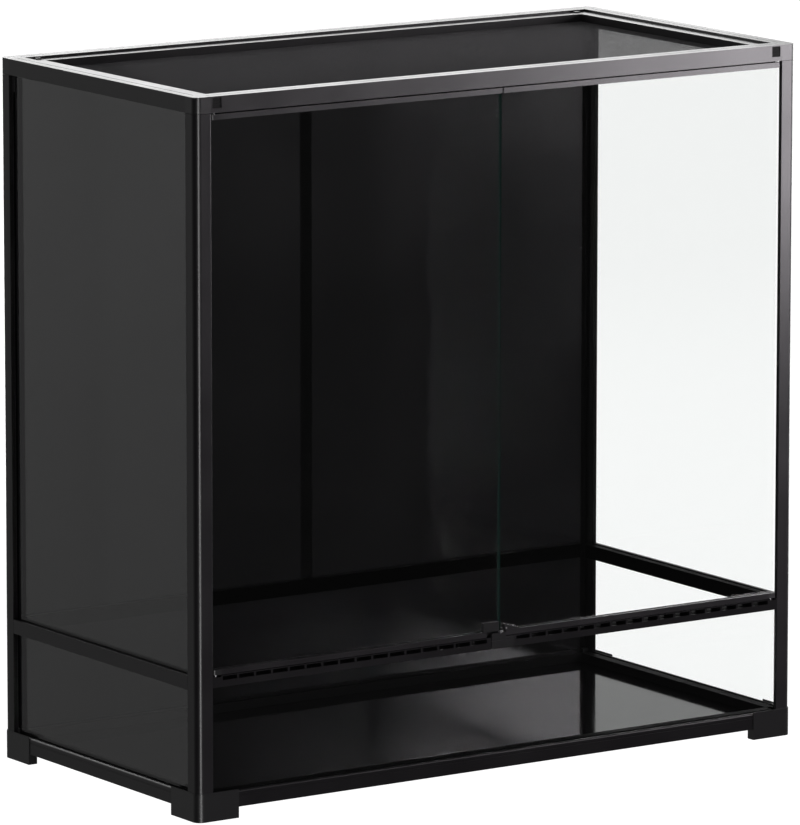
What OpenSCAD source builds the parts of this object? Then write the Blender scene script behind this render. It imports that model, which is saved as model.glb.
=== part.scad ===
// Front-opening glass terrarium in a knock-down frame of extruded bars.
// The frame stands on four corner feet. Clear glass fills the sides and the low
// front, opaque panels fill the back and the floor, two glass doors swing on
// pivot pins, and a framed mesh lid drops into the top.
// Local frame of every corner module: origin on the outer front-left corner of
// the frame at floor level, X along the front, Y towards the back, Z up.

/* [Overall] */
// Width across the corner posts
width = 914; // [500:1:1300]
// Depth across the corner posts
depth = 458; // [300:1:700]
// Height from the floor to the top of the frame
height = 905; // [450:1:1300]

/* [Frame bars] */
// Side of the square corner post, and depth of the rails
post_w = 23; // [20:0.5:30]
// Radius of the post's outer edge
corner_r = 9; // [4:0.5:10]
// Height of the top rails
top_rail_h = 20.5; // [19:0.5:30]
// Height of the bottom rails
bottom_rail_h = 21; // [20:0.5:30]
// Height of the side and rear middle rails
mid_rail_h = 18; // [15:0.5:24]
// Depth of the side and rear middle rails
mid_rail_d = 19; // [17:0.5:21]
// Height of the slotted front rail below the doors
vent_rail_h = 14.6; // [14:0.1:20]
// Top of the middle rails above the floor
mid_rail_top = 183.2; // [90:0.1:300]
// Outer wall of the bars
bar_wall = 2.2; // [1.6:0.1:2.6]
// Width of the inner ledge that carries the lid
ledge_w = 8; // [5:0.5:14]
// Thickness of the inner ledge
ledge_t = 1.8; // [1.2:0.1:3]
// Outer face to the groove along the top of the top rails
top_groove_in = 11.5; // [6:0.5:16]
// Width of that groove
top_groove_w = 1.2; // [0.6:0.1:2]
// Depth of that groove
top_groove_d = 0.8; // [0.4:0.1:1]

/* [Glazing] */
// Thickness of the glass and of the opaque rear panels
glass_t = 4; // [3:0.1:5]
// Outer face of the frame to the outer face of the glass
glass_inset = 6; // [5:0.1:7]
// Depth of the glazing channel in posts, top rails and bottom rails
channel_depth = 6.5; // [5:0.1:7]
// Depth of the glazing channel in the middle rails
mid_channel_depth = 5; // [4:0.1:5.5]
// Clearance on each face of the glass in its channel
glass_fit = 0.3; // [0.1:0.05:0.6]
// Clearance at the edges of the glass
edge_fit = 0.3; // [0.1:0.05:1]
// Width of the joint strip down the middle of the back
strip_w = 16; // [10:0.5:30]

/* [Floor] */
// Thickness of the floor panel
floor_t = 4.8; // [3:0.1:6]
// Upper face of the floor panel above the ground
floor_top = 23; // [22:0.1:26]
// Depth of the floor groove in the bottom rails
floor_groove = 6; // [4:0.1:7]

/* [Feet] */
// Height of a foot, up to its rim
foot_h = 36.5; // [34:0.5:60]
// Underside of the bottom rails above the ground
ground_gap = 13.8; // [13:0.1:30]
// Length of a foot along the front and the back
foot_arm_x = 60; // [40:1:90]
// Length of a foot along the sides
foot_arm_y = 60; // [40:1:90]
// Depth of a foot's arms below the bars, from the face of the bars
foot_arm_d = 11.3; // [9:0.1:19]
// How far a foot stands proud of the bars
foot_proud = 1.2; // [1:0.1:2.5]
// Step along the top of a foot's rim
foot_step = 0.6; // [0.2:0.1:0.8]

/* [Doors] */
// Height of the bars that hold the door glass
door_bar_h = 6.8; // [6:0.1:12]
// Depth of the bars that hold the door glass
door_bar_d = 10.6; // [10:0.1:12]
// Frame face to the face of the door bars
door_setback = 0.4; // [0.3:0.1:2]
// Door bar face to the face of the door glass
door_glass_inset = 4.6; // [3:0.1:5]
// Gap between a door and its post
door_side_gap = 1.2; // [1:0.1:3]
// Gap between the doors and the top rail
door_top_gap = 1.8; // [1:0.1:4]
// Gap between the doors and the slotted rail
door_bottom_gap = 0.8; // [0.6:0.1:4]
// Gap between the two doors
door_seam = 2; // [1:0.1:4]
// Post face to the axis of the door pins
pin_inset = 7.2; // [6:0.1:8]
// Radius of the door pins
pin_r = 2; // [1.5:0.1:2.2]
// Length of the pins inside the rails
pin_reach = 4.4; // [4:0.1:5.5]
// Radial clearance of the pins in their bushes
pin_fit = 0.08; // [0.02:0.01:0.1]
// Outer radius of the bushes
bush_r = 3.6; // [3.2:0.1:4]
// Top of the slotted rail to the top of the lower bushes
bush_sink = 2; // [0.5:0.1:3]
// Radius of the pockets round the lower bushes
pocket_r = 4.8; // [4.4:0.1:4.9]
// Length of the moulded end blocks of a door bar
end_block_len = 12; // [10.5:0.5:20]
// Radius of the end blocks' outer corners
end_block_r = 3; // [2.5:0.1:4]

/* [Slots] */
// Distance from one ventilation slot to the next
slot_pitch = 25; // [15:0.5:40]
// Width of the rib between two slots
slot_rib = 3; // [2:0.5:6]
// Height of a slot
slot_h = 5.2; // [2.5:0.1:5.4]
// Roof of the rail above the slots
slot_roof = 1.2; // [1:0.1:2]
// Rail face to the ribs between the slots
rib_setback = 1.5; // [0.2:0.1:3]

/* [Lock and pulls] */
// Middle of the doors' seam to the left end of the lock housing
lock_left = 15.5; // [12:0.5:20]
// Middle of the doors' seam to the right end of the lock housing
lock_right = 18.5; // [12:0.5:25]
// Middle of the doors' seam to the right end of the housing's riser
riser_right = 6; // [5.5:0.1:9]
// Top of the riser above the slotted rail
lock_rise = 5.3; // [4:0.1:6]
// Gap between the left door's bar and the riser
left_clear = 7.5; // [1:0.5:12]
// Gap between the right door's bar and the riser
right_clear = 1; // [0.8:0.1:6]
// Height of the groove across the housing, above the housing's lower edge
lock_groove = 10; // [8:0.1:12]
// Width of the sliding bolt
bolt_w = 7; // [6:0.5:7]
// Thickness of the sliding bolt
bolt_t = 2.2; // [2:0.1:2.4]
// Travel of the sliding bolt
bolt_travel = 5; // [3:0.5:6]
// Radius of the bolt's thumb button
button_r = 1.3; // [1:0.1:1.6]
// Gap between a door pull and the middle of the doors' seam
pull_gap = 4.6; // [4.4:0.1:8]
// Width of the left door's pull
left_pull_w = 24; // [15:0.5:40]
// Height of the left door's pull
left_pull_h = 11.8; // [8:0.1:20]
// Width of the right door's sloping pull
right_pull_w = 22; // [15:0.5:40]
// Height of the right door's sloping pull
right_pull_h = 7.4; // [6:0.1:14]
// Thickness of the spring strip on the sloping pull
spring_t = 0.8; // [0.5:0.1:1.2]

/* [Lid] */
// Width of the lid's bars
lid_bar_w = 19; // [12:0.5:30]
// Gap between the lid and the frame
lid_gap = 0.6; // [0.4:0.1:2]
// Top of the frame to the top of the lid
lid_recess = 3; // [0:0.1:4]
// Top of the frame to the mesh
mesh_drop = 13; // [9:0.5:13.5]
// Thickness of the mesh
mesh_t = 0.8; // [0.6:0.1:1.2]
// How far the mesh reaches into the lid's bars
mesh_grip = 4.5; // [3:0.5:6]
// Height of the tabs on the lid's corners
tab_h = 1.8; // [1:0.1:3]
// Width of those tabs
tab_w = 8; // [5:0.5:14]

/* [Hidden] */
$fn = 48;
cut = 1;                      // overshoot of a cutting shape
play = 0.2;                   // clearance of a moulded key in a hollow bar
foot_fit = 0.1;               // clearance of a foot's rim round the bars
rail_z = height - top_rail_h; // underside of the top rails
inner_x = width - 2 * post_w; // clear width between the posts
inner_y = depth - 2 * post_w; // clear depth between the posts
groove_w = glass_t + 2 * glass_fit;
groove_d = glass_inset - glass_fit;
core_gap = 2.1;               // wall between a core and the channel beside it
core_w = post_w - channel_depth - core_gap - bar_wall;
key_w = core_w - 2 * play;
key_len = 24;
top_core_h = top_rail_h - channel_depth - core_gap - 1.8;
top_core_z = channel_depth + core_gap;
mid_rail_z = mid_rail_top - mid_rail_h;
vent_rail_z = mid_rail_top - vent_rail_h;
bush_len = pin_reach + 0.5;
window_w = 13;                // snap window of the top corner keys
window_in = 2.5;              // post face to the window
window_z = rail_z + bush_len + 0.6;
window_h = height - window_z - 1.5;
door_z0 = mid_rail_top + door_bottom_gap;
door_z1 = rail_z - door_top_gap;
door_x0 = post_w + door_side_gap;
door_w = (width - door_seam) / 2 - door_x0;
door_glass_y = door_setback + door_glass_inset;
glass_bite = door_bar_h - 2.4; // glass held inside a door bar
pin_x = post_w + pin_inset;
pin_y = door_glass_y;
slot_z = mid_rail_top - slot_roof - slot_h;
bush_z = mid_rail_top - bush_sink; // top of the lower bushes
lock_proud = 0.8;
lock_d = 4.4;
bolt_fit = 0.3;               // clearance of the bolt in its housing
lid_z = rail_z + ledge_t + 0.2;
lid_h = height - lid_recess - lid_z;
lid_x0 = post_w + lid_gap;
lid_len_x = width - 2 * lid_x0;
lid_len_y = depth - 2 * lid_x0;
mesh_z = height - mesh_drop - mesh_t;
lid_core_w = lid_bar_w - mesh_grip - 1.8 - 1.6;
lid_core_z = 6.2;
lid_core_h = lid_h - lid_core_z - 1.6;
strip_t = glass_t + 2 * glass_fit + 2.4;
strip_web = 1.6;

frame_black = [0.09, 0.09, 0.1];
plastic_black = [0.05, 0.05, 0.055];
panel_black = [0.03, 0.03, 0.035];
clear_glass = [0.8, 0.9, 0.92, 0.3];
bright_steel = [0.75, 0.76, 0.78];
mesh_grey = [0.35, 0.35, 0.37];

// ---- placing and profiles ----

// Moves a shape from the local corner frame to one corner of the terrarium.
module corner(right, rear) {
    mirror([right ? 1 : 0, 0, 0]) mirror([0, rear ? 1 : 0, 0])
        translate([-width / 2, -depth / 2, 0]) children();
}

// A bar along X: the profile's X is the depth from the outer face, its Y the height.
module along_x(length) {
    rotate([90, 0, 90]) linear_extrude(length) children();
}

// A bar along Y, with the same profile axes.
module along_y(length) {
    translate([0, length, 0]) rotate([90, 0, 0]) linear_extrude(length) children();
}

module rounded_corner_square(size, r) {
    difference() {
        square(size);
        difference() {
            translate([-cut, -cut]) square(r + cut);
            translate([r, r]) circle(r);
        }
    }
}

module glazing_groove(reach) {
    translate([groove_d, -reach]) square([groove_w, reach + cut]);
}

module post_profile() {
    pocket = bar_wall + core_w + 1.6;
    difference() {
        rounded_corner_square(post_w, corner_r);
        translate([bar_wall, bar_wall]) rounded_corner_square(core_w, corner_r - bar_wall);
        translate([0, post_w]) glazing_groove(channel_depth);
        mirror([1, -1]) translate([0, post_w]) glazing_groove(channel_depth);
        translate([pocket, pocket]) square(post_w - pocket - 1.8);
    }
}

module top_rail_profile(glazed) {
    difference() {
        square([post_w, top_rail_h]);
        translate([bar_wall, top_core_z]) square([core_w, top_core_h]);
        translate([bar_wall + core_w + 1.6, 1.8])
            square([post_w - bar_wall - core_w - 3.2, top_rail_h - 3.6]);
        if (glazed) mirror([0, 1]) glazing_groove(channel_depth);
        translate([top_groove_in, top_rail_h - top_groove_d]) square([top_groove_w, top_groove_d + cut]);
    }
    translate([post_w, 0]) square([ledge_w, ledge_t]);
}

module bottom_rail_profile() {
    bead_r = 2.5;
    bead_line = 6;
    difference() {
        square([post_w, bottom_rail_h]);
        translate([0, bottom_rail_h]) glazing_groove(channel_depth);
        translate([bar_wall, bar_wall])
            square([core_w, bottom_rail_h - channel_depth - core_gap - bar_wall]);
        translate([post_w - floor_groove, floor_top - floor_t - ground_gap - 0.2])
            square([floor_groove + cut, floor_t + 0.4]);
        translate([-cut, bottom_rail_h - bead_line - 0.5]) square([cut + 0.7, 1]);
        translate([0, bottom_rail_h]) mirror([0, 1]) difference() {
            translate([-cut, -cut]) square(bead_r + cut);
            translate([bead_r, bead_r]) circle(bead_r);
        }
    }
}

module mid_rail_profile() {
    pocket = groove_d + groove_w + 2;
    difference() {
        square([mid_rail_d, mid_rail_h]);
        translate([0, mid_rail_h]) glazing_groove(mid_channel_depth);
        mirror([0, 1]) glazing_groove(mid_channel_depth);
        translate([pocket, 1.8]) square([mid_rail_d - pocket - 1.8, mid_rail_h - 3.6]);
    }
}

// ---- frame ----

module post() {
    color(frame_black) translate([0, 0, ground_gap])
        linear_extrude(rail_z - ground_gap) post_profile();
}

module snap_window() {
    translate([post_w + window_in, -cut, window_z]) cube([window_w, bar_wall + cut, window_h]);
}

module bush_hole(z) {
    translate([pin_x, pin_y, z]) cylinder(h = bush_len + 0.1, r = bush_r + 0.05);
}

module top_rail_long(glazed) {
    color(frame_black) difference() {
        translate([post_w, 0, rail_z]) along_x(inner_x) top_rail_profile(glazed);
        snap_window();
        translate([width, 0, 0]) mirror([1, 0, 0]) snap_window();
        if (!glazed) {
            translate([0, 0, -0.01]) bush_hole(rail_z);
            translate([width, 0, -0.01]) mirror([1, 0, 0]) bush_hole(rail_z);
        }
    }
}

module top_rail_short() {
    color(frame_black) difference() {
        translate([0, post_w, rail_z]) along_y(inner_y) top_rail_profile(true);
        // The long rails' ledges pass under the lid's corners.
        for (y = [post_w - cut, depth - post_w - ledge_w])
            translate([post_w, y, rail_z - cut]) cube([ledge_w + cut, ledge_w + cut, ledge_t + 2 * cut]);
    }
}

module bottom_rail_long() {
    color(frame_black) translate([post_w, 0, ground_gap]) along_x(inner_x) bottom_rail_profile();
}

module bottom_rail_short() {
    color(frame_black) translate([0, post_w, ground_gap]) along_y(inner_y) bottom_rail_profile();
}

module mid_rail_long() {
    color(frame_black) translate([post_w, 0, mid_rail_z]) along_x(inner_x) mid_rail_profile();
}

module mid_rail_short() {
    color(frame_black) translate([0, post_w, mid_rail_z]) along_y(inner_y) mid_rail_profile();
}

// Slots from the pin's pocket to the lock, behind a shallow rebate.
module slots(last) {
    first = pin_x + pocket_r + 2.5;
    count = floor((last - first + slot_rib) / slot_pitch);
    for (i = [0 : count - 1])
        translate([first + i * slot_pitch, -cut, slot_z])
            cube([slot_pitch - slot_rib, post_w + 2 * cut, slot_h]);
    translate([first, -cut, slot_z]) cube([count * slot_pitch - slot_rib, rib_setback + cut, slot_h]);
}

module vent_rail() {
    color(frame_black) difference() {
        translate([post_w, 0, vent_rail_z]) along_x(inner_x) difference() {
            square([post_w, vent_rail_h]);
            mirror([0, 1]) glazing_groove(mid_channel_depth);
        }
        for (right = [0, 1])
            translate([right * width, 0, 0]) mirror([right, 0, 0]) {
                slots(width / 2 - 3 - (right ? lock_right : lock_left));
                bush_hole(bush_z - bush_len - 0.09);
                // Pocket round the pin, open to the front and the top
                translate([pin_x, pin_y, bush_z]) cylinder(h = bush_sink + cut, r = pocket_r);
                translate([pin_x - pocket_r, -cut, bush_z])
                    cube([2 * pocket_r, pin_y + cut, bush_sink + cut]);
            }
        translate([width / 2 - lock_left - play, -cut, vent_rail_z - cut])
            cube([lock_left + lock_right + 2 * play, cut + lock_d + play, vent_rail_h + 2 * cut]);
    }
}

// Leg of a moulded part inside a post.
module post_key(length) {
    translate([bar_wall + play, bar_wall + play, 0])
        linear_extrude(length) rounded_corner_square(key_w, corner_r - bar_wall - play);
}

// Moulded corner with a leg down the post and a leg into each top rail.
module corner_key() {
    leg_z = rail_z + top_core_z + play;
    leg_h = top_core_h - 2 * play;
    rib = (window_h - 2 * play) / 7;
    color(plastic_black) {
        difference() {
            translate([0, 0, rail_z]) linear_extrude(top_rail_h) rounded_corner_square(post_w, corner_r);
            // The post's glazing channels run on into the key.
            translate([0, 0, rail_z - cut]) linear_extrude(channel_depth + cut) {
                translate([0, post_w]) glazing_groove(channel_depth);
                mirror([1, -1]) translate([0, post_w]) glazing_groove(channel_depth);
            }
        }
        translate([0, 0, rail_z - key_len]) post_key(key_len + cut);
        translate([post_w - cut, bar_wall + play, leg_z]) cube([key_len + cut, key_w, leg_h]);
        translate([bar_wall + play, post_w - cut, leg_z]) cube([key_w, key_len + cut, leg_h]);
        // Ribbed tongue of the leg, showing in the rail's window
        translate([post_w + window_in + play, 0, 0]) {
            difference() {
                translate([0, 0.5, window_z + play])
                    cube([window_w - 2 * play, bar_wall - 0.5, window_h - 2 * play]);
                for (i = [0 : 2])
                    translate([-cut, -cut, window_z + play + (2 * i + 1) * rib])
                        cube([window_w + cut, cut + 1.3, rib]);
            }
            translate([0, bar_wall - 0.1, leg_z]) cube([window_w - 2 * play, play + 0.2, leg_h]);
        }
    }
}

// Rounds the outer corner of a foot that is grown beyond the bars.
module round_outer_corner(grow) {
    r = corner_r + grow;
    difference() {
        children();
        translate([-grow, -grow]) difference() {
            translate([-cut, -cut]) square(r + cut);
            translate([r, r]) circle(r);
        }
    }
}

module foot_arms(grow, arm_d) {
    translate([-grow, -grow]) square([foot_arm_x + grow, arm_d + grow]);
    translate([-grow, -grow]) square([arm_d + grow, foot_arm_y + grow]);
}

// The rim round the bars, up to a given height, a given amount proud of them.
module foot_rim(top, grow) {
    translate([0, 0, ground_gap - cut]) linear_extrude(top - ground_gap + cut) difference() {
        round_outer_corner(grow) foot_arms(grow, foot_arm_d);
        translate([-foot_fit, -foot_fit])
            rounded_corner_square(foot_arm_x + foot_arm_y, corner_r + foot_fit);
    }
}

// L-shaped corner foot: a ribbed tray with a rim round the outside of the bars.
module foot() {
    wall = 2.6;
    deck = 3;
    inside = foot_proud - wall;
    color(plastic_black) {
        difference() {
            linear_extrude(ground_gap) round_outer_corner(foot_proud) {
                foot_arms(foot_proud, foot_arm_d);
                translate([-foot_proud, -foot_proud]) square(post_w + foot_proud);
            }
            translate([0, 0, -cut]) linear_extrude(ground_gap - deck + cut) {
                // Under the post, round the boss that stands on the ground
                difference() {
                    round_outer_corner(inside) translate([-inside, -inside]) square(post_w - wall + inside);
                    translate([post_w * 0.65, post_w / 2]) circle(5);
                }
                // Along each arm, on both sides of a rib
                for (i = [0, 1]) {
                    bay = (foot_arm_x - wall - post_w - wall) / 2;
                    translate([post_w + i * (bay + wall), -inside]) square([bay, foot_arm_d - wall + inside]);
                }
                for (i = [0, 1]) {
                    bay = (foot_arm_y - wall - post_w - wall) / 2;
                    translate([-inside, post_w + i * (bay + wall)]) square([foot_arm_d - wall + inside, bay]);
                }
            }
        }
        foot_rim(foot_h - foot_step, foot_proud);
        foot_rim(foot_h, foot_proud - foot_step);
        translate([0, 0, ground_gap - cut]) post_key(key_len + cut);
    }
}

// ---- glazing ----

// A pane between two heights, its outer face one inset inside the frame.
module pane_x(x0, x1, z0, z1) {
    translate([x0, glass_inset, z0]) cube([x1 - x0, glass_t, z1 - z0]);
}

module pane_y(z0, z1) {
    reach = channel_depth - edge_fit;
    translate([glass_inset, post_w - reach, z0]) cube([glass_t, inner_y + 2 * reach, z1 - z0]);
}

pane_reach = channel_depth - edge_fit;
mid_reach = mid_channel_depth - edge_fit;
low_z0 = ground_gap + bottom_rail_h - pane_reach;
low_z1 = mid_rail_z + mid_reach;
high_z0 = mid_rail_top - mid_reach;
high_z1 = rail_z + pane_reach;

module side_glass_upper() { color(clear_glass) pane_y(high_z0, high_z1); }
module side_glass_lower() { color(clear_glass) pane_y(low_z0, low_z1); }

module front_glass_lower() {
    color(clear_glass) corner(false, false)
        pane_x(post_w - pane_reach, width - post_w + pane_reach, low_z0, vent_rail_z + mid_reach);
}

module rear_panel_upper() {
    color(panel_black)
        pane_x(post_w - pane_reach, (width - strip_web) / 2 - edge_fit, high_z0, high_z1);
}

module rear_panel_lower() {
    color(panel_black) corner(false, true)
        pane_x(post_w - pane_reach, width - post_w + pane_reach, low_z0, low_z1);
}

module rear_joint_strip() {
    color(frame_black) corner(false, true)
        translate([width / 2, glass_inset + glass_t / 2, mid_rail_top])
            linear_extrude(rail_z - mid_rail_top) difference() {
                square([strip_w, strip_t], center = true);
                for (s = [-1, 1])
                    translate([s * (strip_web / 2 + strip_w / 2), 0])
                        square([strip_w, groove_w], center = true);
            }
}

module floor_panel() {
    edge = post_w - floor_groove + edge_fit;
    color(panel_black) difference() {
        translate([edge - width / 2, edge - depth / 2, floor_top - floor_t])
            cube([width - 2 * edge, depth - 2 * edge, floor_t]);
        for (right = [false, true], rear = [false, true])
            corner(right, rear) translate([0, 0, floor_top - floor_t - cut])
                cube([post_w + edge_fit, post_w + edge_fit, floor_t + 2 * cut]);
    }
}

// ---- doors ----

module bush() {
    difference() {
        cylinder(h = bush_len, r = bush_r);
        translate([0, 0, -cut]) cylinder(h = bush_len + 2 * cut, r = pin_r + pin_fit);
    }
}

module pivot_bushes() {
    color(plastic_black) for (right = [false, true]) corner(right, false) {
        translate([pin_x, pin_y, rail_z]) bush();
        translate([pin_x, pin_y, bush_z - bush_len]) bush();
    }
}

// Blocks behind the doors' free edges, which the closed doors rest on.
module door_stops() {
    stop_w = 56;
    stop_y = door_setback + door_bar_d + 0.4;
    color(plastic_black) corner(false, false) translate([(width - stop_w) / 2, stop_y, 0]) {
        translate([0, 0, rail_z - 9]) cube([stop_w, 4, 9]);
        translate([0, 0, mid_rail_top]) cube([stop_w, 4, 8]);
    }
}

module door_bar_profile() {
    difference() {
        square([door_bar_d, door_bar_h]);
        translate([door_glass_inset - glass_fit, door_bar_h - glass_bite - edge_fit])
            square([groove_w, glass_bite + edge_fit + cut]);
        translate([1.2, 1.2]) square([door_glass_inset - glass_fit - 2.4, door_bar_h - 2.4]);
    }
}

// A door bar from its end block to a given X; flipped for the top one.
module door_bar(x1) {
    color(frame_black) translate([door_x0 + end_block_len, door_setback, 0])
        along_x(x1 - door_x0 - end_block_len) door_bar_profile();
}

module flip_z(z) {
    translate([0, 0, z]) mirror([0, 0, 1]) children();
}

module door_top_bar() {
    flip_z(door_z1) door_bar(door_x0 + door_w);
}

// Free end of a door's bottom bar, measured from the door's own side of the frame.
function bar_end(right) = width / 2 - (right ? riser_right + right_clear : lock_left + left_clear);

module door_bottom_bar(right) {
    translate([0, 0, door_z0]) door_bar(bar_end(right));
}

module end_block() {
    color(plastic_black) translate([door_x0, door_setback, 0]) difference() {
        linear_extrude(door_bar_h) difference() {
            square([end_block_len, door_bar_d]);
            difference() {
                translate([-cut, -cut]) square(end_block_r + cut);
                translate([end_block_r, end_block_r]) circle(end_block_r);
            }
            translate([0, door_bar_d]) mirror([0, 1]) difference() {
                translate([-cut, -cut]) square(end_block_r + cut);
                translate([end_block_r, end_block_r]) circle(end_block_r);
            }
        }
        translate([2, door_glass_inset - glass_fit, door_bar_h - glass_bite - edge_fit])
            cube([end_block_len, groove_w, glass_bite + edge_fit + cut]);
        translate([pin_x - door_x0, pin_y - door_setback, -cut])
            cylinder(h = door_bar_h - glass_bite + cut, r = pin_r + 0.05);
    }
}

module door_end_blocks() {
    translate([0, 0, door_z0]) end_block();
    flip_z(door_z1) end_block();
}

module door_pins() {
    seat = door_bar_h - glass_bite - edge_fit - 0.1;
    color(bright_steel) {
        translate([pin_x, pin_y, bush_z - pin_reach])
            cylinder(h = pin_reach + bush_sink + door_bottom_gap + seat, r = pin_r);
        translate([pin_x, pin_y, door_z1 - seat])
            cylinder(h = pin_reach + door_top_gap + seat, r = pin_r);
    }
}

module door_glass(right) {
    z0 = door_z0 + door_bar_h - glass_bite;
    z1 = door_z1 - door_bar_h + glass_bite;
    x0 = door_x0 + 2 + edge_fit;
    color(clear_glass) difference() {
        translate([x0, door_glass_y, z0]) cube([door_x0 + door_w - x0, glass_t, z1 - z0]);
        translate([bar_end(right), door_glass_y - cut, z0 - cut])
            cube([door_w, glass_t + 2 * cut, bolt_z1 + 0.6 - z0 + cut]);
    }
}

// ---- pulls and lock, measured along X from the middle of the doors' seam ----

bolt_y = 0.9;
bolt_z0 = vent_rail_z + 2.5;
bolt_z1 = mid_rail_top + lock_rise + 1.9;
button_x = button_r - bolt_w / 2;
button_z = bolt_z1 - button_r;
pull_y = -0.7;
pull_z = max(bolt_z1, door_z0 + door_bar_h) + 0.5;

// A shape drawn in X and Z, made solid from one Y to another.
module between_y(y0, y1) {
    translate([width / 2, y1, 0]) rotate([90, 0, 0]) linear_extrude(y1 - y0) children();
}

// Finger pulls bonded to the glass beside the doors' seam.
module door_pull_left() {
    color(plastic_black) between_y(pull_y, door_glass_y - 0.1)
        translate([-pull_gap - left_pull_w, pull_z]) square([left_pull_w, left_pull_h]);
}

module door_pull_right() {
    color(plastic_black) between_y(pull_y, door_glass_y - 0.1) translate([pull_gap, pull_z])
        polygon([[0, 0], [right_pull_w, 0], [right_pull_w, 0.8], [0, right_pull_h]]);
}

// Bent steel strip along the slope of the right pull, and the rivet that holds it.
module pull_spring_right() {
    drop = right_pull_h - 0.8;
    color(bright_steel) {
        between_y(pull_y + 1, door_glass_y - 1) translate([pull_gap, pull_z + 0.1])
            polygon([[0, right_pull_h], [right_pull_w, 0.8], [right_pull_w, 0.8 + spring_t],
                [right_pull_w * 0.62, 0.8 + drop * 0.38 + spring_t + 1.2],
                [right_pull_w * 0.5, 0.8 + drop * 0.5 + spring_t], [0, right_pull_h + spring_t]]);
        translate([width / 2 + pull_gap + 1.8, pull_y - 0.05, pull_z + 2.4])
            rotate([90, 0, 0]) cylinder(h = 0.4, r = 1.2);
    }
}

module lock_housing() {
    lower_r = 3;
    foot_z = vent_rail_z + play;
    color(plastic_black) difference() {
        between_y(-lock_proud, lock_d) difference() {
            union() {
                translate([-lock_left, foot_z]) square([lock_left + lock_right, mid_rail_top - foot_z]);
                translate([-lock_left, foot_z])
                    square([lock_left + riser_right, mid_rail_top + lock_rise - foot_z]);
            }
            translate([-lock_left, foot_z]) difference() {
                translate([-cut, -cut]) square(lower_r + cut);
                translate([lower_r, lower_r]) circle(lower_r);
            }
        }
        // Pocket of the bolt, open at the top
        between_y(bolt_y - bolt_fit, bolt_y + bolt_t + bolt_fit)
            translate([-bolt_w / 2 - bolt_fit, bolt_z0 - bolt_fit])
                square([bolt_w + 2 * bolt_fit, bolt_z1 - bolt_z0]);
        // Slot of the thumb button, open at the top
        between_y(-lock_proud - cut, bolt_y)
            translate([button_x - button_r - bolt_fit, button_z - button_r - bolt_fit])
                square([2 * (button_r + bolt_fit), bolt_travel]);
        between_y(-lock_proud - cut, -lock_proud + 0.8)
            translate([-lock_left - cut, vent_rail_z + lock_groove])
                square([lock_left + lock_right + 2 * cut, 1.2]);
    }
}

module lock_bolt() {
    color(bright_steel) {
        between_y(bolt_y, bolt_y + bolt_t)
            translate([-bolt_w / 2, bolt_z0]) square([bolt_w, bolt_z1 - bolt_z0]);
        translate([width / 2 + button_x, bolt_y + 0.1, button_z]) rotate([90, 0, 0])
            cylinder(h = bolt_y + foot_proud, r = button_r);
    }
}

// ---- lid ----

module lid_bar_profile() {
    difference() {
        square([lid_bar_w, lid_h]);
        translate([1.8, lid_core_z]) square([lid_core_w, lid_core_h]);
        translate([lid_bar_w - mesh_grip, mesh_z - lid_z - 0.1])
            square([mesh_grip + cut, mesh_t + 0.2]);
    }
}

// Cuts both ends of a lid bar to a mitre; the bar runs along X from the origin.
module mitred(length) {
    difference() {
        children();
        for (e = [0, 1]) translate([e * length, 0, -cut]) mirror([e, 0, 0])
            linear_extrude(lid_h + 2 * cut)
                polygon([[-cut, -cut], [-cut, lid_bar_w + cut], [lid_bar_w + cut, lid_bar_w + cut]]);
    }
}

module lid_bar_long() {
    color(frame_black) translate([lid_x0, lid_x0, lid_z])
        mitred(lid_len_x) along_x(lid_len_x) lid_bar_profile();
}

module lid_bar_short() {
    color(frame_black) translate([lid_x0, lid_x0 + lid_len_y, lid_z]) rotate([0, 0, -90])
        mitred(lid_len_y) along_x(lid_len_y) lid_bar_profile();
}

module lid_corner_keys() {
    w = lid_core_w - 2 * play;
    h = lid_core_h - 2 * play;
    color(plastic_black) for (right = [false, true], rear = [false, true]) corner(right, rear)
        translate([lid_x0 + 1.8 + play, lid_x0 + 1.8 + play, lid_z + lid_core_z + play]) {
            cube([40, w, h]);
            cube([w, 40, h]);
        }
}

module lid_mesh() {
    edge = lid_x0 + lid_bar_w - mesh_grip + edge_fit;
    color(mesh_grey) translate([edge - width / 2, edge - depth / 2, mesh_z])
        cube([width - 2 * edge, depth - 2 * edge, mesh_t]);
}

module lid_corner_tabs() {
    color(plastic_black) for (right = [false, true], rear = [false, true]) corner(right, rear)
        translate([lid_x0 + 12, lid_x0 + 1.2, height - lid_recess]) cube([tab_w, 5.5, tab_h]);
}

// ---- nodes ----

corner(false, false) post();  // post_front_left
corner(true, false) post();  // post_front_right
corner(false, true) post();  // post_rear_left
corner(true, true) post();  // post_rear_right
corner(false, false) top_rail_long(false);  // top_rail_front
corner(false, true) top_rail_long(true);  // top_rail_rear
corner(false, false) top_rail_short();  // top_rail_left
corner(true, false) top_rail_short();  // top_rail_right
corner(false, false) bottom_rail_long();  // bottom_rail_front
corner(false, true) bottom_rail_long();  // bottom_rail_rear
corner(false, false) bottom_rail_short();  // bottom_rail_left
corner(true, false) bottom_rail_short();  // bottom_rail_right
corner(false, false) vent_rail();  // vent_rail_front
corner(false, true) mid_rail_long();  // mid_rail_rear
corner(false, false) mid_rail_short();  // mid_rail_left
corner(true, false) mid_rail_short();  // mid_rail_right
corner(false, false) corner_key();  // corner_key_front_left
corner(true, false) corner_key();  // corner_key_front_right
corner(false, true) corner_key();  // corner_key_rear_left
corner(true, true) corner_key();  // corner_key_rear_right
corner(false, false) foot();  // foot_front_left
corner(true, false) foot();  // foot_front_right
corner(false, true) foot();  // foot_rear_left
corner(true, true) foot();  // foot_rear_right
corner(false, false) side_glass_upper();  // side_glass_upper_left
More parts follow.
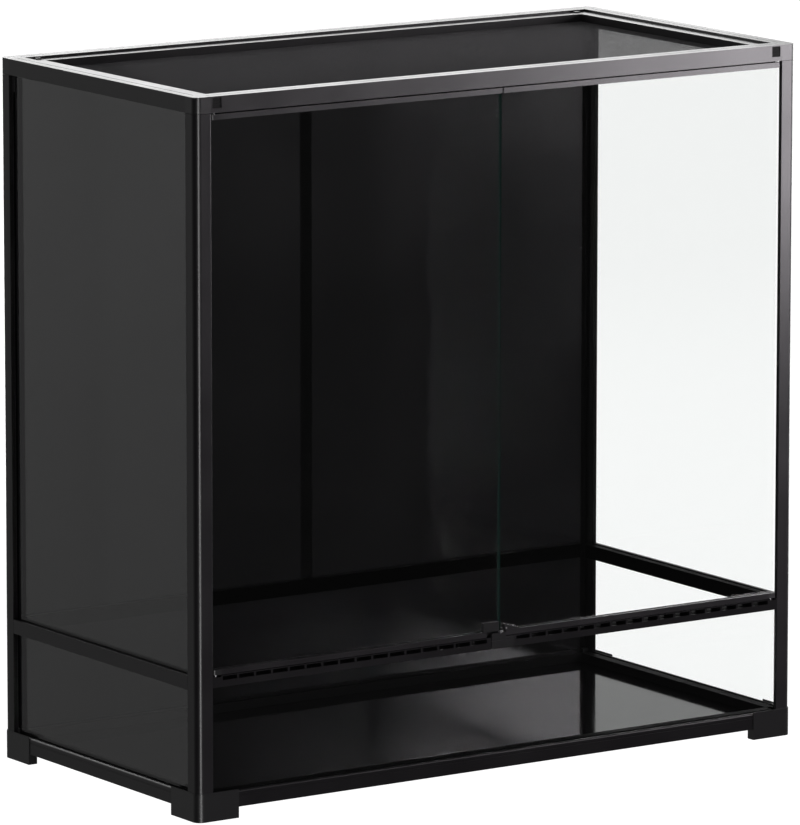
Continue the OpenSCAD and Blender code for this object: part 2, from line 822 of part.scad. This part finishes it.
corner(true, false) side_glass_upper();  // side_glass_upper_right
corner(false, false) side_glass_lower();  // side_glass_lower_left
corner(true, false) side_glass_lower();  // side_glass_lower_right
front_glass_lower();
corner(false, true) rear_panel_upper();  // rear_panel_upper_left
corner(true, true) rear_panel_upper();  // rear_panel_upper_right
rear_panel_lower();
rear_joint_strip();
floor_panel();
pivot_bushes();
door_stops();
corner(false, false) lock_housing();
corner(false, false) lock_bolt();
corner(false, false) door_glass(false);  // door_glass_left
corner(false, false) door_top_bar();  // door_top_bar_left
corner(false, false) door_bottom_bar(false);  // door_bottom_bar_left
corner(false, false) door_end_blocks();  // door_end_blocks_left
corner(false, false) door_pins();  // door_pins_left
corner(false, false) door_pull_left();
corner(true, false) door_glass(true);  // door_glass_right
corner(true, false) door_top_bar();  // door_top_bar_right
corner(true, false) door_bottom_bar(true);  // door_bottom_bar_right
corner(true, false) door_end_blocks();  // door_end_blocks_right
corner(true, false) door_pins();  // door_pins_right
corner(false, false) door_pull_right();
corner(false, false) pull_spring_right();
corner(false, false) lid_bar_long();  // lid_bar_front
corner(false, true) lid_bar_long();  // lid_bar_rear
corner(false, false) lid_bar_short();  // lid_bar_left
corner(true, false) lid_bar_short();  // lid_bar_right
lid_corner_keys();
lid_mesh();
lid_corner_tabs();
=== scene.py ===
"""Looks, lights and camera of a front-opening glass terrarium in a black bar frame."""

import math

import bmesh
import bpy
from mathutils import Matrix, Vector


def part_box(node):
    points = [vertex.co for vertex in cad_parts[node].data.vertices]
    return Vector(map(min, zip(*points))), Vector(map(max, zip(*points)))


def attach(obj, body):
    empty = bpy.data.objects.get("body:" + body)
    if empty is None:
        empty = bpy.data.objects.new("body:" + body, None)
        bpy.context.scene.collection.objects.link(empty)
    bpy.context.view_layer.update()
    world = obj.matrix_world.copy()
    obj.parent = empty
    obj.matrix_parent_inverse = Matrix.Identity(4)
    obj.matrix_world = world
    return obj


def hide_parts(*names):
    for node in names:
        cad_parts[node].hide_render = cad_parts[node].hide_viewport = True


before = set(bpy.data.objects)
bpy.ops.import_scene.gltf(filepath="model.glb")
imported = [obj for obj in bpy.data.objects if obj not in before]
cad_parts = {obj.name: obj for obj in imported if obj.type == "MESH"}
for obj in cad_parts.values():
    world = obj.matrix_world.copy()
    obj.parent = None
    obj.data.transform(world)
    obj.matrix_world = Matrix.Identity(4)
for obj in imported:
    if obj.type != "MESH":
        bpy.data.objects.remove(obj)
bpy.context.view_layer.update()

MM = 0.001

# ---- camera ----

CAMERA_PLACE = Vector((-5.5998, -8.2698, 2.2281))
CAMERA_LOOK = Vector((0.55185292, 0.81504104, -0.17654024))
CAMERA_ROLL = 0.0335                    # degrees
CAMERA_LENS = 345.33                    # millimetres
SENSOR_WIDTH = 36                       # millimetres
CAMERA_REACH = 100                      # metres

# ---- corner posts ----

FLANGE = 6.0 * MM                       # thickness of a post's flanges
CORNER_RADIUS = 9.0 * MM                # round outer corner, as on the keys and feet
EASED = 0.6 * MM                        # radius along the flange edges
KEY_SEAM = 0.5 * MM                     # open line between a post and the key above it
CORNER_STEPS = 24                       # flats round the outer corner
HOLLOW_STEPS = 6                        # flats in the hollow between the flanges
EASED_STEPS = 3                         # flats round a flange edge

# ---- lid mesh ----

WIRE_PITCH = 1.8 * MM
WIRE_RADIUS = 0.112 * MM
WIRE_SIDES = 5

# ---- where a finish or a painted shade changes, from the middle of the tank ----

OUTER_FACE = {                          # beyond these a rail has its full sheen; nearer the middle it has painted shade
    "X": (454.2 * MM, 454.6 * MM),
    "Y": (226.2 * MM, 226.6 * MM),
}
HINGE_EDGE = (429.5 * MM, 430.3 * MM)   # the polished edges beside the doors' hinges
TONGUE_END = (432.5 * MM, 433.5 * MM)   # where a corner key's block takes over from the painted shade on the part inside the rail

# ---- finishes ----

NOISE_SPAN = (0.3, 0.7)                 # most of a noise's values lie between these
SHEET_DRIFT = 1.25                      # dullest over glossiest part of a sheet
NICKEL_BLUE = 1.02                      # blue of the plating over its red and green
GLASS_MIRROR = 0.04                     # mirrored by glass that is seen square on
GRAZING_POWER = 5.0                     # how steeply that grows towards grazing

# ---- pale floor and sky ----

FLOOR_RADIUS = 30
FLOOR_SIDES = 96
FLOOR_DROP = 0.5 * MM
FLOOR_GLOW = 1.08
SKY_LEAST = 0.02                        # in front of the tank and below it

# ---- what the lights reach ----

BACK_PANEL = dict(place=(0.2, 2.6, 1.9), target=(0.0, 0.0, 0.9), size=(4.6, 1.2))
FAINT_PINK = (1, 0.95, 1)
FAR_SIDE = ("post_rear_", "mid_rail_rear", "mid_rail_right", "rear_joint_strip")
NEAR_SIDE = ("post_front_", "corner_key_front_", "top_rail_front", "door_top_bar_",
             "door_bottom_bar_", "door_end_blocks_right")
REAR_EDGE = ("lid_bar_rear", "top_rail_rear")
REAR_SIDE = ("post_rear_", "rear_panel_", "top_rail_rear", "mid_rail_rear", "bottom_rail_rear",
             "foot_rear_", "corner_key_rear_")
RIGHT_SIDE = ("post_front_right", "post_rear_right", "top_rail_right", "mid_rail_right",
              "bottom_rail_right", "foot_front_right", "foot_rear_right",
              "corner_key_front_right", "corner_key_rear_right")
TOP_SIDE = ("top_rail_", "lid_bar_", "corner_key_", "lid_corner_tabs")

# ---- shader expressions ----


class Value:
    """A shader socket that takes part in Python expressions."""

    def __init__(self, graph, socket):
        self.graph = graph
        self.socket = socket

    def maths(self, operation, *values):
        settings = {"operation": operation}
        return self.graph.node("ShaderNodeMath", settings, dict(enumerate(values)))

    def __add__(self, other):
        return self.maths("ADD", self, other)

    def __sub__(self, other):
        return self.maths("SUBTRACT", self, other)

    def __rsub__(self, other):
        return self.maths("SUBTRACT", other, self)

    def __mul__(self, other):
        return self.maths("MULTIPLY", self, other)

    def __pow__(self, other):
        return self.maths("POWER", self, other)

    __radd__ = __add__
    __rmul__ = __mul__

    def size(self):
        return self.maths("ABSOLUTE", self)

    def ramp(self, low, high, start=0.0, end=1.0):
        """Runs smoothly from start to end while this value goes from low to high."""
        settings = {"interpolation_type": "SMOOTHSTEP"}
        sockets = {"Value": self, "From Min": low, "From Max": high, "To Min": start, "To Max": end}
        return self.graph.node("ShaderNodeMapRange", settings, sockets)

    def spread(self, start, end):
        """Turns a noise into a value that wanders between start and end."""
        return self.ramp(*NOISE_SPAN, start, end)


class Graph:
    """A node tree of a material or of the world."""

    def __init__(self, owner):
        owner.use_nodes = True
        self.tree = owner.node_tree
        self.tree.nodes.clear()

    def node(self, kind, settings=None, sockets=None, output=0):
        """Adds a node: its settings are set first, then its sockets are set or linked."""
        made = self.tree.nodes.new(kind)
        for name, value in (settings or {}).items():
            setattr(made, name, value)
        for name, value in (sockets or {}).items():
            if isinstance(value, Value):
                self.tree.links.new(value.socket, made.inputs[name])
            else:
                made.inputs[name].default_value = value
        return Value(self, made.outputs[output])

    def finish(self, shader, kind="ShaderNodeOutputMaterial"):
        out = self.tree.nodes.new(kind)
        self.tree.links.new(shader.socket, out.inputs["Surface"])

    def along(self, axis, coordinates="Object"):
        """One axis of the piece's own place, or of the direction its surface faces."""
        vector = self.node("ShaderNodeTexCoord", output=coordinates)
        return self.node("ShaderNodeSeparateXYZ", sockets={"Vector": vector}, output=axis)

    def noise(self, scale, detail=2.0, stretch=None):
        place = self.node("ShaderNodeTexCoord", output="Object")
        if stretch:
            sockets = {"Vector": place, "Scale": stretch}
            place = self.node("ShaderNodeMapping", sockets=sockets)
        sockets = {"Vector": place, "Scale": scale, "Detail": detail}
        return self.node("ShaderNodeTexNoise", sockets=sockets)

    def bump(self, height, strength, distance):
        sockets = {"Height": height, "Strength": strength, "Distance": distance}
        return self.node("ShaderNodeBump", sockets=sockets, output="Normal")

    def colours(self, factor, first, second):
        sockets = {"Factor": factor, 6: (*first, 1), 7: (*second, 1)}
        return self.node("ShaderNodeMix", {"data_type": "RGBA"}, sockets, output=2)

    def surface(self, colour, roughness, **others):
        """The main shader; others are its further sockets by name, such as Normal."""
        sockets = {"Base Color": colour, "Roughness": roughness, **others}
        return self.node("ShaderNodeBsdfPrincipled", sockets=sockets)

    def mix(self, factor, first, second):
        return self.node("ShaderNodeMixShader", sockets={"Fac": factor, 1: first, 2: second})


def new_material(name):
    material = bpy.data.materials.new(name)
    return material, Graph(material)


# ---- finishes ----


def powder_coat(name, outer_face=None):
    """Satin black powder coat: a fine orange peel, and slow drifts in its sheen.

    outer_face is the axis across a rail whose faces inside the tank get painted shade: a darker,
    less glossy copy of the coat.
    """
    material, graph = new_material(name)
    drift = graph.noise(scale=9.0)
    peel = graph.noise(scale=1400.0, detail=1.0)
    orange_peel = graph.bump(peel, strength=0.12, distance=0.2 * MM)
    shader = graph.surface(
        graph.colours(drift, (0.0042, 0.0038, 0.0043), (0.006, 0.0055, 0.0062)),
        roughness=drift.spread(0.29, 0.34), Normal=orange_peel, IOR=1.34,
    )
    if outer_face:
        # painted shade: a darker copy of the coat with little gloss, for the rail faces inside the
        # tank
        shaded_inside = graph.surface(
            graph.colours(drift, (0.003, 0.003, 0.003), (0.0045, 0.0044, 0.0046)),
            roughness=drift.spread(0.45, 0.55), Normal=orange_peel, IOR=1.06,
        )
        outside = graph.along(outer_face).size().ramp(*OUTER_FACE[outer_face])
        shader = graph.mix(outside, shaded_inside, shader)
    graph.finish(shader)
    return material


def moulded_plastic():
    """Black moulded plastic with the fine grain of an etched mould."""
    material, graph = new_material("moulded_plastic")
    grain = graph.noise(scale=2600.0, detail=3.0)
    drift = graph.noise(scale=14.0)
    graph.finish(graph.surface(
        graph.colours(drift, (0.004, 0.0039, 0.0042), (0.006, 0.0058, 0.0063)),
        roughness=grain.spread(0.34, 0.44), IOR=1.4,
        Normal=graph.bump(grain, strength=0.25, distance=0.15 * MM),
    ))
    return material


def keyed_plastic():
    """The moulded plastic of the corner keys, with painted shade on the tongues inside the rails: a
    darker, less glossy copy of the plastic.
    """
    material, graph = new_material("keyed_plastic")
    grain = graph.noise(scale=2600.0, detail=3.0)
    block = graph.surface(
        graph.colours(grain, (0.004, 0.0039, 0.0042), (0.006, 0.0058, 0.0063)),
        roughness=grain.spread(0.3, 0.38), IOR=1.38,
        Normal=graph.bump(grain, strength=0.15, distance=0.15 * MM),
    )
    # painted shade: a darker copy of the plastic with little gloss, for the tongues inside the
    # rails
    shaded_tongue = graph.surface(
        graph.colours(grain, (0.003, 0.003, 0.003), (0.004, 0.004, 0.004)),
        roughness=grain.spread(0.6, 0.75), IOR=1.15,
    )
    graph.finish(graph.mix(graph.along("X").size().ramp(*TONGUE_END), shaded_tongue, block))
    return material


def gloss_sheet(name, roughness, ripple):
    """Black opaque sheet with a rolled gloss surface, and a ripple of this strength in it."""
    material, graph = new_material(name)
    drift = graph.noise(scale=5.0)
    rolled = graph.noise(scale=300.0, detail=1.0)
    graph.finish(graph.surface(
        graph.colours(drift, (0.0025, 0.0024, 0.0026), (0.004, 0.0039, 0.0042)),
        roughness=drift.spread(roughness, roughness * SHEET_DRIFT), IOR=1.45,
        Normal=graph.bump(rolled, strength=ripple, distance=0.1 * MM),
    ))
    return material


def float_glass(name, thin_axis):
    """Clear float glass: see-through on its faces, dark green at its cut edges.

    The edges beside the doors' hinges are polished, so they are clear as well.
    """
    material, graph = new_material(name)
    smear = graph.noise(scale=6.0)
    facing = graph.node("ShaderNodeLayerWeight", sockets={"Blend": 0.5}, output="Facing")
    clear = graph.node("ShaderNodeBsdfTransparent", sockets={"Color": (0.988, 0.992, 0.99, 1)})
    mirror = graph.node("ShaderNodeBsdfAnisotropic", sockets={
        "Color": (1, 1, 1, 1),
        "Roughness": smear.ramp(0.3, 0.8, start=0.015, end=0.035),
    })
    mirrored = GLASS_MIRROR + (1 - GLASS_MIRROR) * facing ** GRAZING_POWER
    pane = graph.mix(mirrored, clear, mirror)
    cut_edge = graph.surface(
        graph.colours(smear, (0.004, 0.016, 0.013), (0.007, 0.024, 0.02)),
        roughness=0.22, IOR=1.5,
    )
    edge = graph.mix(graph.along("X").size().ramp(*HINGE_EDGE), cut_edge, pane)
    on_a_face = graph.along(thin_axis, "Normal").size().ramp(0.5, 0.9)
    graph.finish(graph.mix(on_a_face, edge, pane))
    return material


def nickel(name, dark, light):
    """Plated steel with a drawn grain."""
    material, graph = new_material(name)
    drawn = graph.noise(scale=900.0, stretch=(1, 1, 0.05))
    graph.finish(graph.surface(
        graph.colours(drawn, (dark, dark, dark * NICKEL_BLUE), (light, light, light * NICKEL_BLUE)),
        roughness=drawn.spread(0.2, 0.32), Metallic=1.0,
        Normal=graph.bump(drawn, strength=0.1, distance=0.05 * MM),
    ))
    return material


def coated_wire():
    """Steel wire under a thin dark coating, brighter where it is worn."""
    material, graph = new_material("coated_wire")
    worn = graph.noise(scale=220.0, detail=4.0)
    bright = worn.ramp(0.5, 0.75)
    graph.finish(graph.surface(
        graph.colours(bright, (0.03, 0.029, 0.031), (0.09, 0.088, 0.092)),
        roughness=worn.spread(0.4, 0.55), IOR=1.5,
    ))
    return material


# ---- lid mesh ----


class Modelling:
    """A Geometry Nodes tree with named inputs, built a node at a time."""

    def __init__(self, name):
        self.tree = bpy.data.node_groups.new(name, "GeometryNodeTree")
        self.tree.interface.new_socket(
            "Geometry", in_out="OUTPUT", socket_type="NodeSocketGeometry")
        self.inputs = self.tree.nodes.new("NodeGroupInput")
        self.identifiers = {}

    def size(self, name, kind="NodeSocketFloat"):
        item = self.tree.interface.new_socket(name, in_out="INPUT", socket_type=kind)
        self.identifiers[name] = item.identifier
        return self.inputs.outputs[name]

    def node(self, kind, settings=None, sockets=None):
        made = self.tree.nodes.new(kind)
        for name, value in (settings or {}).items():
            setattr(made, name, value)
        for name, value in (sockets or {}).items():
            if isinstance(value, bpy.types.NodeSocket):
                self.tree.links.new(value, made.inputs[name])
            else:
                made.inputs[name].default_value = value
        return made.outputs[0]

    def times(self, value, factor):
        return self.node("ShaderNodeMath", {"operation": "MULTIPLY"}, {0: value, 1: factor})

    def along(self, axis, value):
        """A vector that reaches this far along one axis."""
        return self.node("ShaderNodeCombineXYZ", sockets={axis: value})

    def finish(self, geometry, material):
        real = self.node("GeometryNodeRealizeInstances", sockets={"Geometry": geometry})
        named = self.node(
            "GeometryNodeSetMaterial", sockets={"Geometry": real, "Material": material})
        out = self.tree.nodes.new("NodeGroupOutput")
        self.tree.links.new(named, out.inputs[0])
        return self

    def make(self, name, values):
        """Runs the tree with these values and returns the result as a plain object."""
        carrier = bpy.data.objects.new(name + "_tree", bpy.data.meshes.new(name + "_tree"))
        bpy.context.scene.collection.objects.link(carrier)
        modifier = carrier.modifiers.new("tree", "NODES")
        modifier.node_group = self.tree
        for key, value in values.items():
            modifier[self.identifiers[key]] = value
        evaluated = carrier.evaluated_get(bpy.context.evaluated_depsgraph_get())
        mesh = bpy.data.meshes.new_from_object(evaluated)
        mesh.name = name
        carrier.modifiers.remove(modifier)
        bpy.data.objects.remove(carrier)
        return add_object(name, mesh)


def add_object(name, mesh):
    piece = bpy.data.objects.new(name, mesh)
    bpy.context.scene.collection.objects.link(piece)
    return piece


def row_of_wires(material):
    """A tree that lays straight wires along X, a fixed pitch apart."""
    model = Modelling("row_of_wires")
    length, count = model.size("Wire length"), model.size("Wires", "NodeSocketInt")
    pitch, radius = model.size("Pitch"), model.size("Radius")
    section = model.node("GeometryNodeCurvePrimitiveCircle", sockets={
        "Resolution": WIRE_SIDES, "Radius": radius,
    })
    middle_line = model.node("GeometryNodeCurvePrimitiveLine", sockets={
        "Start": model.along("X", model.times(length, -0.5)),
        "End": model.along("X", model.times(length, 0.5)),
    })
    wire = model.node("GeometryNodeCurveToMesh", sockets={
        "Curve": middle_line, "Profile Curve": section, "Fill Caps": True,
    })
    places = model.node("GeometryNodeMeshLine", sockets={
        "Count": count, "Offset": model.along("Y", pitch),
    })
    wires = model.node("GeometryNodeInstanceOnPoints", sockets={
        "Points": places, "Instance": wire,
    })
    return model.finish(wires, material)


def wire_layer(row, middle, length, width, turned):
    """One layer of the mesh; the turned one runs from front to back, under the other."""
    count = int(width / WIRE_PITCH)
    layer = row.make("wires", {
        "Wire length": length, "Wires": count, "Pitch": WIRE_PITCH, "Radius": WIRE_RADIUS,
    })
    lift = -WIRE_RADIUS if turned else WIRE_RADIUS
    first = Matrix.Translation((0, -(count - 1) * WIRE_PITCH / 2, lift))
    turn = Matrix.Rotation(math.pi / 2, 4, "Z") if turned else Matrix.Identity(4)
    layer.data.transform(Matrix.Translation(middle) @ turn @ first)
    return layer


def lid_mesh(material):
    """Two crossed layers of wires that touch, in place of the plain sheet."""
    low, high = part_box("lid_mesh")
    size, middle = high - low, (low + high) / 2
    row = row_of_wires(material)
    layers = [
        wire_layer(row, middle, length=size.x, width=size.y, turned=False),
        wire_layer(row, middle, length=size.y, width=size.x, turned=True),
    ]
    mesh = layers[0]
    with bpy.context.temp_override(active_object=mesh, selected_editable_objects=layers):
        bpy.ops.object.join()
    mesh.name = "lid_wire_mesh"
    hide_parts("lid_mesh")
    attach(mesh, "lid")


# ---- corner posts ----


def arc(centre, radius, start, end, steps):
    """Points along an arc, its angles in degrees."""
    angles = [math.radians(start + (end - start) * i / steps) for i in range(steps + 1)]
    return [(centre[0] + radius * math.cos(a), centre[1] + radius * math.sin(a)) for a in angles]


def angle_outline(side):
    """Section of an angle bar, measured inwards from its outer corner."""
    hollow = CORNER_RADIUS - FLANGE
    near, far = EASED, side - EASED
    thick = FLANGE - EASED
    round_corner = (CORNER_RADIUS, CORNER_RADIUS)
    return (
        arc((far, near), EASED, 270, 360, EASED_STEPS)
        + arc((far, thick), EASED, 0, 90, EASED_STEPS)
        + arc(round_corner, hollow, 270, 180, HOLLOW_STEPS)
        + arc((thick, far), EASED, 0, 90, EASED_STEPS)
        + arc((near, far), EASED, 90, 180, EASED_STEPS)
        + arc(round_corner, CORNER_RADIUS, 180, 270, CORNER_STEPS)
    )


def corner_post(node, material):
    """An angle bar whose two flanges cover the edges of the panes behind them."""
    low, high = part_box(node)
    shape = bmesh.new()
    rings = []
    for z in (low.z, high.z - KEY_SEAM):
        ring = []
        for across, deep in angle_outline(high.x - low.x):
            x = high.x - across if high.x > 0 else low.x + across
            y = high.y - deep if high.y > 0 else low.y + deep
            ring.append(shape.verts.new((x, y, z)))
        rings.append(ring)
    bottom, top = rings
    for i, start in enumerate(bottom):
        after = (i + 1) % len(bottom)
        shape.faces.new((start, bottom[after], top[after], top[i]))
    shape.faces.new(bottom)
    shape.faces.new(top)
    bmesh.ops.recalc_face_normals(shape, faces=shape.faces)
    mesh = bpy.data.meshes.new("angle_" + node)
    shape.to_mesh(mesh)
    shape.free()
    mesh.materials.append(material)
    post = add_object("angle_" + node, mesh)
    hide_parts(node)
    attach(post, "frame")
    return post


# ---- studio ----


def studio_floor():
    """A wide pale floor that the camera sees, and that neither lights nor shades the pieces."""
    material, graph = new_material("pale_floor")
    glow = graph.node("ShaderNodeEmission", sockets={
        "Color": (1, 1, 1, 1), "Strength": FLOOR_GLOW,
    })
    paint = graph.node("ShaderNodeBsdfDiffuse", sockets={"Color": (0.1, 0.1, 0.1, 1)})
    graph.finish(graph.node("ShaderNodeAddShader", sockets={0: glow, 1: paint}))
    mesh = bpy.data.meshes.new("floor")
    shape = bmesh.new()
    bmesh.ops.create_circle(shape, cap_ends=True, segments=FLOOR_SIDES, radius=FLOOR_RADIUS)
    shape.to_mesh(mesh)
    shape.free()
    mesh.materials.append(material)
    floor = add_object("floor", mesh)
    floor.location.z = -FLOOR_DROP
    floor.visible_glossy = False
    floor.visible_diffuse = False
    floor.visible_shadow = False


def studio_world():
    """Soft light from behind the object, dim from the front and from below."""
    world = bpy.data.worlds.new("studio")
    bpy.context.scene.world = world
    graph = Graph(world)
    behind = graph.along("Y", "Generated").ramp(0.0, 0.7)
    overhead = graph.along("Z", "Generated").ramp(-0.3, 0.2, start=0.19, end=0.7)
    sky = graph.node("ShaderNodeBackground", sockets={
        "Color": (1, 1, 1, 1), "Strength": SKY_LEAST + behind * overhead,
    })
    graph.finish(sky, "ShaderNodeOutputWorld")


def soft_box(name, place, target, size, radiance, tint=(1, 1, 1), only=(), without=()):
    """A rectangular light that the camera doesn't see, on some nodes or on all but some."""
    data = bpy.data.lights.new(name, "AREA")
    data.shape = "RECTANGLE"
    data.size, data.size_y = size
    data.energy = radiance * math.pi * size[0] * size[1]
    data.color = tint
    light = bpy.data.objects.new(name, data)
    light.location = place
    light.rotation_euler = (Vector(target) - Vector(place)).to_track_quat("-Z", "Y").to_euler()
    light.visible_camera = False
    bpy.context.scene.collection.objects.link(light)
    if only or without:
        group = bpy.data.collections.new(name + "_group")
        light.light_linking.receiver_collection = group
        for key, node in lit.items():
            if key.startswith(only or without):
                group.objects.link(node)
        for member in group.collection_objects:
            member.light_linking.link_state = "INCLUDE" if only else "EXCLUDE"


def studio_lights():
    """The front and back lights, then one soft fill for each of the other sides."""
    soft_box("right_box", place=(2.45, -1.9, 1.2), target=(0.3, -0.2, 0.6), size=(1.3, 1.2),
             radiance=14.0, tint=FAINT_PINK, without=FAR_SIDE)
    soft_box("near_box", place=(1.25, -1.2, 0.88), target=(0.45, -0.23, 0.8), size=(0.7, 0.9),
             radiance=15.5, tint=FAINT_PINK, only=NEAR_SIDE)
    soft_box("front_strip", place=(-1.25, -3.15, 0.1), target=(-0.45, -0.23, 0.45),
             size=(0.16, 2.8), radiance=70.0, without=FAR_SIDE)
    soft_box("back_panel", **BACK_PANEL, radiance=3.4)
    soft_box("rear_edge_panel", **BACK_PANEL, radiance=2.0, only=REAR_EDGE)
    soft_box("rear_fill", place=(0.75, 3.4, 0.35), target=(0.0, 0.23, 0.45), size=(2.4, 1.4),
             radiance=9.0, only=REAR_SIDE)
    soft_box("side_fill", place=(3.6, 0.9, 0.35), target=(0.46, 0.0, 0.45), size=(1.6, 1.4),
             radiance=9.0, only=RIGHT_SIDE)
    soft_box("top_fill", place=(0.0, 0.5, 3.6), target=(0.0, 0.0, 0.9), size=(2.0, 1.2),
             radiance=6.0, only=TOP_SIDE)


def studio_camera():
    data = bpy.data.cameras.new("camera")
    data.lens, data.sensor_width, data.clip_end = CAMERA_LENS, SENSOR_WIDTH, CAMERA_REACH
    camera = bpy.data.objects.new("camera", data)
    turn = CAMERA_LOOK.to_track_quat("-Z", "Y").to_matrix().to_4x4()
    roll = Matrix.Rotation(math.radians(CAMERA_ROLL), 4, "Z")
    camera.matrix_world = Matrix.Translation(CAMERA_PLACE) @ turn @ roll
    bpy.context.scene.collection.objects.link(camera)
    bpy.context.scene.camera = camera


# ---- dressing the nodes ----


def dress(material, *names):
    """Gives the CAD nodes whose names start with one of these the material."""
    for name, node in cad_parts.items():
        if name.startswith(names):
            for slot in node.material_slots:
                slot.material = material


coat = powder_coat("powder_coat")
lit = dict(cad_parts)              # what the lights can be linked to, by node
for corner in ("front_left", "front_right", "rear_left", "rear_right"):
    lit["post_" + corner] = corner_post("post_" + corner, coat)
studio_camera()
studio_world()
studio_lights()
studio_floor()
bpy.context.scene.view_settings.view_transform = "Standard"

dress(coat, "top_rail_", "lid_bar_", "door_top_bar_", "door_bottom_bar_")
# The side and cross rail coats carry painted shade on their faces inside the tank.
dress(powder_coat("side_rail_coat", outer_face="X"),
      "mid_rail_left", "mid_rail_right", "bottom_rail_left", "bottom_rail_right")
dress(powder_coat("cross_rail_coat", outer_face="Y"),
      "mid_rail_rear", "vent_rail_front", "bottom_rail_front", "bottom_rail_rear")
dress(keyed_plastic(), "corner_key_")
dress(moulded_plastic(), "foot_", "pivot_bushes", "door_stops", "lock_housing",
      "door_end_blocks_", "door_pull_", "lid_corner_")
dress(gloss_sheet("joint_strip", roughness=0.2, ripple=0.05), "rear_joint_strip")
dress(gloss_sheet("rear_sheet", roughness=0.16, ripple=0.1), "rear_panel_upper_")
dress(gloss_sheet("low_rear_sheet", roughness=0.135, ripple=0.08), "rear_panel_lower")
dress(gloss_sheet("floor_sheet", roughness=0.07, ripple=0.04), "floor_panel")
dress(float_glass("side_float_glass", thin_axis="X"), "side_glass_")
dress(float_glass("front_float_glass", thin_axis="Y"), "front_glass_", "door_glass_")
dress(nickel("bright_nickel", dark=0.62, light=0.74), "lock_bolt", "pull_spring_")
# The pins sit in the shadow gap above the door bars; their nickel is painted far darker to stand
# for that shade.
dress(nickel("shaded_nickel", dark=0.1, light=0.16), "door_pins_")
lid_mesh(coated_wire())
